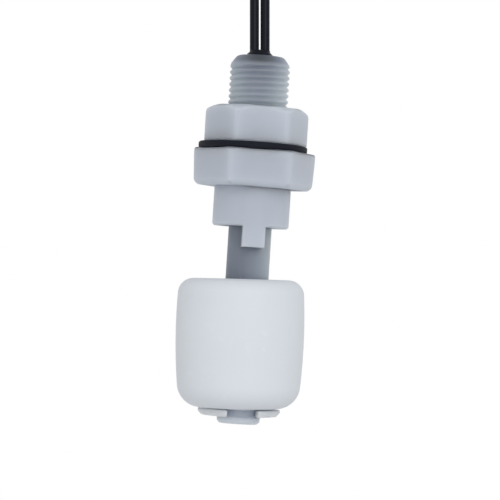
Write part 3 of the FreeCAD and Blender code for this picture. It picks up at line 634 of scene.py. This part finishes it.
class SWITCH_OT_stem(bpy.types.Operator):
    """Cut the thread into the stem's shank and give the moulding its finish, with painted light
    and shade on its thin wall
    """
    bl_idname = "switch.stem"
    bl_label = "Stem moulding"

    SOFT_EDGES = (
        (-6.3, -5.4, 7.4, 12.0, 0.38, 4),   # flange, lower edge
        (-0.4, 0.1, 7.4, 12.0, 0.40, 4),    # flange, upper edge
        (-16.3, -12.9, 4.0, 6.6, 0.18, 3),  # lugs
        (14.0, 15.9, 3.5, 5.2, 0.40, 4),    # shank's chamfer
        (-45.7, -45.0, 2.9, 3.8, 0.16, 3),  # closed end
    )

    def execute(self, context):
        thread = context.scene.switch_thread
        material = natural_plastic("stem_plastic", thin_wall=True)
        plain = dressed_copy("stem_plain", "stem_body")
        self.join_lugs(plain)
        piece = dressed_copy("stem_blank", None, self.SOFT_EDGES, ready=plain)
        bpy.data.objects.remove(plain)
        run_tree(piece, thread_tree(), **{
            "Shank Radius": SHANK_RADIUS, "Pitch": thread.pitch, "Depth": thread.depth,
            "Mouth": thread.mouth, "Root": thread.root, "Start": thread.start,
            "Rise": SHANK_TOP - thread.start - thread.end_margin, "Steps": 48,
            "Material": material})
        finished = dressed_copy("stem_moulding", None, ready=piece)
        bpy.data.objects.remove(piece)
        clothe(weigh_normals(finished), material)
        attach(finished, "stem")
        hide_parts("stem_body")
        return {"FINISHED"}

    def join_lugs(self, piece):
        """Carry the stop lugs' outer faces up over the neck's lower bevel to the neck's side."""
        for vertex in piece.data.vertices:
            x, y, z = vertex.co
            on_bevel = NECK_BEVEL_FOOT[0] < math.hypot(x, y) < NECK_BEVEL_FOOT[1]
            if on_bevel and abs(x) < LUG_HALF_WIDTH + NEAR and abs(z - NECK_FOOT) < NEAR:
                vertex.co.y = math.copysign(math.sqrt(NECK_RADIUS ** 2 - x * x), y)


class SWITCH_OT_nut(bpy.types.Operator):
    """Give the lock nut its finish"""
    bl_idname = "switch.nut"
    bl_label = "Lock nut"

    SOFT_EDGES = (
        (5.2, 7.3, 5.8, 9.0, 0.42, 5),  # upper edge and its chamfer
        (1.0, 1.5, 6.8, 9.0, 0.10, 3),  # lower edge
    )

    def execute(self, context):
        piece = dressed_copy("lock_nut_moulding", "lock_nut", self.SOFT_EDGES)
        clothe(weigh_normals(piece), natural_plastic("nut_plastic"))
        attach(piece, "nut")
        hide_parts("lock_nut")
        return {"FINISHED"}


class SWITCH_OT_seals(bpy.types.Operator):
    """Give the gasket, the snap ring and the potting compound their finishes, with painted light
    on the snap ring
    """
    bl_idname = "switch.seals"
    bl_label = "Gasket, snap ring and seal"

    def execute(self, context):
        finish = context.scene.switch_finish
        pieces = (
            ("gasket_ring", "gasket", "black_rubber", ((-0.1, 1.2, 7.6, 9.9, 0.08, 3),),
             plain_skin("gasket_rubber", finish.rubber, 0.6, bump=0.4,
                        Specular_IOR_Level=0.08)),
            # Painted light: the snap ring's plastic is lightened by a gain of 1.45, lifting its
            # shaded underside.
            ("snap_ring", "retaining_clip", "natural_plastic",
             ((-44.5, -43.2, 2.0, 7.5, 0.12, 3),), natural_plastic("clip_plastic", gain=1.45)),
            ("lead_seal", "potting_seal", "potting_compound", (),
             plain_skin("seal_epoxy", finish.insulation, 0.15, bump=0.2,
                        Specular_IOR_Level=0.1)),
        )
        for name, node, slot, soft_edges, material in pieces:
            piece = clothe(weigh_normals(dressed_copy(name, node, soft_edges)), material)
            if node == "potting_seal":
                self.creep(piece)
            if node == "retaining_clip":
                self.spring(piece)
            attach(piece, "stem")
            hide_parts(node)
        return {"FINISHED"}

    def spring(self, piece):
        """Bend the snap ring's arm on the +X side up towards the leaning float."""
        for vertex in piece.data.vertices:
            vertex.co.z += ARM_SLOPE * max(0.0, vertex.co.x)

    def creep(self, piece):
        """Move the collar over to the leads and narrow its top, where it has crept up them."""
        for vertex in piece.data.vertices:
            x, y, z = vertex.co
            if z >= SHANK_TOP - NEAR and math.hypot(x, y) > COLLAR_INSIDE:
                share = COLLAR_SHARES[0 if z > SHANK_TOP + COLLAR_WAIST else 1]
                vertex.co.x = x * share - COLLAR_SHIFT
                vertex.co.y = y * share


class SWITCH_OT_float(bpy.types.Operator):
    """Turn the float's cup and lid with smooth arcs, lean them on the stem and finish them"""
    bl_idname = "switch.float"
    bl_label = "Float"

    def execute(self, context):
        form = context.scene.switch_float
        bore, edge, wall = form.bore / 2, form.bore_edge, form.wall
        tube = bore + form.tube_wall
        hollow = form.diameter / 2 - wall - HOLLOW_INSET
        floor, ledge = hollow - FOOT_STEP, tube + LEDGE_WIDTH
        seam = form.height - form.seam_depth
        lid_foot = form.height - wall
        magnet_foot = lid_foot - MAGNET_ROOM
        outside, split = self.outside(form, seam)
        cup = [(bore, seam), (bore, edge), (bore + edge, 0)] + outside[:split]
        cup += [(hollow, seam), (hollow, form.foot_radius), (floor, form.foot_radius),
                (floor, wall), (ledge, wall), (ledge, magnet_foot),
                (tube, magnet_foot), (tube, lid_foot), (bore, lid_foot)]
        lid = [(bore, lid_foot), (hollow, lid_foot), (hollow, seam)] + outside[split - 1:]
        lid += [(bore + edge, form.height), (bore, form.height - edge)]
        material = white_plastic()
        for name, node, profile in (("float_cup", "float_shell", cup),
                                    ("float_lid", "float_cap", lid)):
            piece = turned(name, profile, steps=128, lean=self.place(form))
            clothe(weigh_normals(piece), material)
            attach(piece, "float")
            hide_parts(node)
        clothe(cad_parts["float_magnet"],
               plain_skin("magnet_ferrite", (0.05, 0.05, 0.055), 0.7, bump=0.6))
        return {"FINISHED"}

    def outside(self, form, seam):
        """The barrel, foot and crown arcs from the foot up, and how many points lie on the cup."""
        bulge, foot, crown = form.bulge_radius, form.foot_radius, form.crown_radius
        middle = form.diameter / 2 - bulge
        low = math.degrees(math.asin((foot - form.waist) / (bulge - foot)))
        high = math.degrees(math.asin((form.height - crown - form.waist) / (bulge - crown)))
        cut = math.degrees(math.asin((seam - form.waist) / bulge))
        foot_x = middle + (bulge - foot) * math.cos(math.radians(low))
        crown_x = middle + (bulge - crown) * math.cos(math.radians(high))
        cup = arc(foot_x, foot, foot, -90, low, 14)[:-1]
        cup += arc(middle, form.waist, bulge, low, cut, 12)
        lid = arc(middle, form.waist, bulge, cut, high, 2)[1:-1]
        lid += arc(crown_x, form.height - crown, crown, high, 90, 12)
        return cup + lid, len(cup)

    def place(self, form):
        """The float hangs loose: its top leans towards -X and its low side rests on the ring."""
        lean = math.atan((form.top_shift - form.foot_shift) / form.height)
        foot = form.rest_level + RING_RADIUS * math.sin(lean)
        return (Matrix.Translation((-form.foot_shift, 0, foot))
                @ Matrix.Rotation(-lean, 4, "Y"))


class SWITCH_OT_contact(bpy.types.Operator):
    """Give the reed contact and its wiring their finishes"""
    bl_idname = "switch.contact"
    bl_label = "Reed contact"

    def execute(self, context):
        glass, tree, shader = new_material("contact_glass", 0.05, Transmission_Weight=0.9, IOR=1.5)
        skin = add_skin(tree, shader, bump=0.02)
        tree.feed(shader.inputs["Base Color"], mix_colours(
            tree, skin.outputs["Tone"], rgba((0.72, 0.88, 0.8)), rgba((0.8, 0.93, 0.86))))
        alloy = plain_skin("blade_alloy", (0.62, 0.6, 0.55), 0.3, Metallic=1.0)
        solder = plain_skin("solder_metal", (0.62, 0.62, 0.62), 0.25, Metallic=1.0)
        shrink = plain_skin("shrink_film", (0.02, 0.02, 0.022), 0.5)
        sleeve = plain_skin("sleeve_film", (0.75, 0.75, 0.72), 0.35)
        tinned = plain_skin("tinned_copper", (0.66, 0.65, 0.62), 0.3, Metallic=1.0)
        finishes = {
            "reed_glass": glass, "reed_blade_upper": alloy, "reed_blade_lower": alloy,
            "reed_sleeve": sleeve, "solder_joint_upper": solder, "solder_joint_lower": solder,
            "heat_shrink_upper": shrink, "heat_shrink_lower": shrink,
            "conductor_a": tinned, "conductor_b": tinned,
        }
        for node, material in finishes.items():
            clothe(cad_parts[node], material)
        return {"FINISHED"}


def hank_turns(turns, side, loop_radius, waist, layer):
    """Control points of a lead folded into long loops, rising on the given side first.

    Each turn lies behind the one before it, and the turns differ a little in size.
    """
    low_centre, high_centre = HANK_FOOT + LOOP_REACH, HANK_FOOT + HANK_HEIGHT - LOOP_REACH
    middle = HANK_FOOT + HANK_HEIGHT / 2
    points_per_turn = 16
    points = []
    for half in range(turns * 2):
        rising = half % 2 == 0
        centre, sign = (high_centre, side) if rising else (low_centre, -side)
        radius = loop_radius * (1 - LOOP_SPREAD * (half * 5 % 4) / 3)
        steps = [(sign * waist, middle)]
        for degrees in range(0, 181, 30):
            angle = math.radians(degrees)
            up = math.sin(angle) if rising else -math.sin(angle)
            steps.append((sign * radius * math.cos(angle), centre + radius * up))
        for x, z in steps:
            depth = layer * (len(points) + 1) / points_per_turn
            points.append(Vector((x, depth, z)))
    return points


def lead_curve(name, points, diameter, material):
    """A smooth round lead along its control points."""
    curve = bpy.data.curves.new(name, "CURVE")
    curve.dimensions = "3D"
    curve.resolution_u = 6
    curve.bevel_depth = diameter / 2
    curve.bevel_resolution = 6
    curve.use_fill_caps = True
    spline = curve.splines.new("NURBS")
    spline.points.add(len(points) - 1)
    for knot, point in zip(spline.points, points):
        knot.co = (*point, 1.0)
    spline.order_u = 3
    spline.use_endpoint_u = True
    curve.materials.append(material)
    return placed_object(name, curve)


class SWITCH_OT_leads(bpy.types.Operator):
    """Lead both wires out of the shank and fold their length into a tied hank"""
    bl_idname = "switch.leads"
    bl_label = "Leads"

    def execute(self, context):
        settings = context.scene.switch_leads
        finish = context.scene.switch_finish
        material = plain_skin("lead_insulation", finish.insulation, 0.1, bump=0.6,
                              grain=0.0012, Specular_IOR_Level=0.1)
        tie = clothe(weigh_normals(dressed_copy("hank_band", "hank_tie")),
                     plain_skin("tie_band", (0.78, 0.78, 0.75), 0.5))
        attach(tie, "stem")
        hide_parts("hank_tie")
        top = HANK_FOOT + HANK_HEIGHT
        layer = settings.diameter * LAYER_SHARE
        copper = plain_skin("tip_copper", (0.66, 0.65, 0.62), 0.3, Metallic=1.0)
        plans = (
            ("a", -1, 5.8 * MM, 2.6 * MM, ("lead_a", "lead_hank"), [tie]),
            ("b", 1, 7.45 * MM, 4.25 * MM, ("lead_b",), []),
        )
        for letter, side, loop, waist, nodes, carried in plans:
            shift = side * LEAD_SPACING / 2
            tip = TIP_PLACES[0 if side < 0 else 1]
            route = [Vector((x + shift, 0, z)) for x, z in LEAD_ROUTE]
            hank = hank_turns(settings.turns, side, loop, waist, layer)
            end = [Vector((side * waist, tip[1], HANK_FOOT + HANK_HEIGHT / 2)),
                   Vector((tip[0], tip[1], top - TIP_STRAIGHT)), Vector((*tip, top))]
            piece = lead_curve(f"lead_{letter}_wire", route + hank + end, settings.diameter,
                               material)
            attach(piece, "stem")
            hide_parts(*nodes)
            strands = self.strands(letter, tip, top, copper)
        return {"FINISHED"}

    def strands(self, letter, tip, top, material):
        """The bare end of a lead: fine wires twisted together and tinned."""
        node = f"tinned_tip_{letter}"
        piece = placed_object(f"bare_end_{letter}", bpy.data.meshes.new("strand_seed"))
        run_tree(piece, strand_tree(), **{
            "Strands": 7, "Lay Radius": 0.27 * MM, "Strand Radius": 0.13 * MM,
            "Length": TIP_LENGTH, "Turns": 1.6, "Material": material})
        piece.data.transform(Matrix.Translation((*tip, top)))
        clothe(piece, material)
        for face in piece.data.polygons:
            face.use_smooth = True
        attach(piece, "stem")
        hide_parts(node)
        return piece


class SWITCH_OT_stage(bpy.types.Operator):
    """Set the white backdrop, the soft lights and the camera"""
    bl_idname = "switch.stage"
    bl_label = "Studio"

    def execute(self, context):
        self.surround()
        self.lamps()
        self.camera(context)
        return {"FINISHED"}

    def surround(self):
        """White to the camera and in gloss, and a plain soft grey as a light."""
        world = bpy.data.worlds.new("studio")
        world.use_nodes = True
        bpy.context.scene.world = world
        tree = Tree(world.node_tree)
        back = world.node_tree.nodes["Background"]
        path = tree.add("ShaderNodeLightPath")
        seen = tree.maths("MAXIMUM", path.outputs["Is Camera Ray"],
                          path.outputs["Is Glossy Ray"])
        seen = tree.maths("MAXIMUM", seen, path.outputs["Is Transmission Ray"])
        strength = tree.add("ShaderNodeMapRange", seen, 0.0, 1.0, *SURROUND_STRENGTHS)
        tree.feed(back.inputs["Color"], (1.0, 1.0, 1.0, 1.0))
        tree.feed(back.inputs["Strength"], strength)

    def lamps(self):
        plans = (
            ("key", (0.06, -0.55, 0.18), 0.40, 1.05),
            ("fill", (-0.30, -0.45, -0.16), 0.40, 0.35),
            ("glint", (0.50, -0.10, 0.04), 0.012, 0.13),
        )
        aim = Vector((0, 0, -16 * MM))
        for name, place, width, power in plans:
            light = bpy.data.lights.new(name, "AREA")
            light.shape = "SQUARE"
            light.size = width
            light.energy = power
            lamp = bpy.data.objects.new(name, light)
            lamp.location = place
            lamp.rotation_euler = (aim - Vector(place)).to_track_quat("-Z", "Y").to_euler()
            bpy.context.scene.collection.objects.link(lamp)

    def camera(self, context):
        """A long lens from in front, a little to the left and rolled so that the stem leans."""
        azimuth, elevation, roll = (math.radians(a) for a in (-6.5, -1.15, 3.6))
        distance = 0.4514
        aim = Vector((0.2 * MM, 0, -16.57 * MM))
        away = Vector((math.sin(azimuth) * math.cos(elevation),
                       -math.cos(azimuth) * math.cos(elevation), math.sin(elevation)))
        lens = bpy.data.cameras.new("camera")
        lens.lens = 194.5
        lens.sensor_width = 36.0
        eye = bpy.data.objects.new("camera", lens)
        turn = (-away).to_track_quat("-Z", "Y").to_matrix().to_4x4()
        eye.matrix_world = (Matrix.Translation(aim + away * distance) @ turn
                            @ Matrix.Rotation(roll, 4, "Z"))
        context.scene.collection.objects.link(eye)
        context.scene.camera = eye
        context.scene.view_settings.view_transform = "Standard"


class SWITCH_PT_panel(bpy.types.Panel):
    """Lists the sizes, colours and steps that build the float switch"""
    bl_idname = "SWITCH_PT_panel"
    bl_label = "Float Switch"
    bl_space_type = "VIEW_3D"
    bl_region_type = "UI"
    bl_category = "Float Switch"

    def draw(self, context):
        scene = context.scene
        for settings in [getattr(scene, name) for name in SETTINGS]:
            box = self.layout.box()
            for name in settings.bl_rna.properties.keys():
                if name not in ("rna_type", "name"):
                    box.prop(settings, name)
        for step in STEPS:
            self.layout.operator(step.bl_idname)


STEPS = (SWITCH_OT_stem, SWITCH_OT_nut, SWITCH_OT_seals, SWITCH_OT_float, SWITCH_OT_contact,
         SWITCH_OT_leads, SWITCH_OT_stage)
SETTINGS = {"switch_thread": ThreadSettings, "switch_float": FloatSettings,
            "switch_finish": FinishSettings, "switch_leads": LeadSettings}


def register():
    for name, kind in SETTINGS.items():
        bpy.utils.register_class(kind)
        setattr(bpy.types.Scene, name, bpy.props.PointerProperty(type=kind))
    for kind in (*STEPS, SWITCH_PT_panel):
        bpy.utils.register_class(kind)


def unregister():
    for kind in (SWITCH_PT_panel, *reversed(STEPS)):
        bpy.utils.unregister_class(kind)
    for name, kind in SETTINGS.items():
        delattr(bpy.types.Scene, name)
        bpy.utils.unregister_class(kind)


def main():
    register()
    for step in STEPS:
        group, name = step.bl_idname.split(".")
        getattr(getattr(bpy.ops, group), name)()


if __name__ == "__main__":
    main()
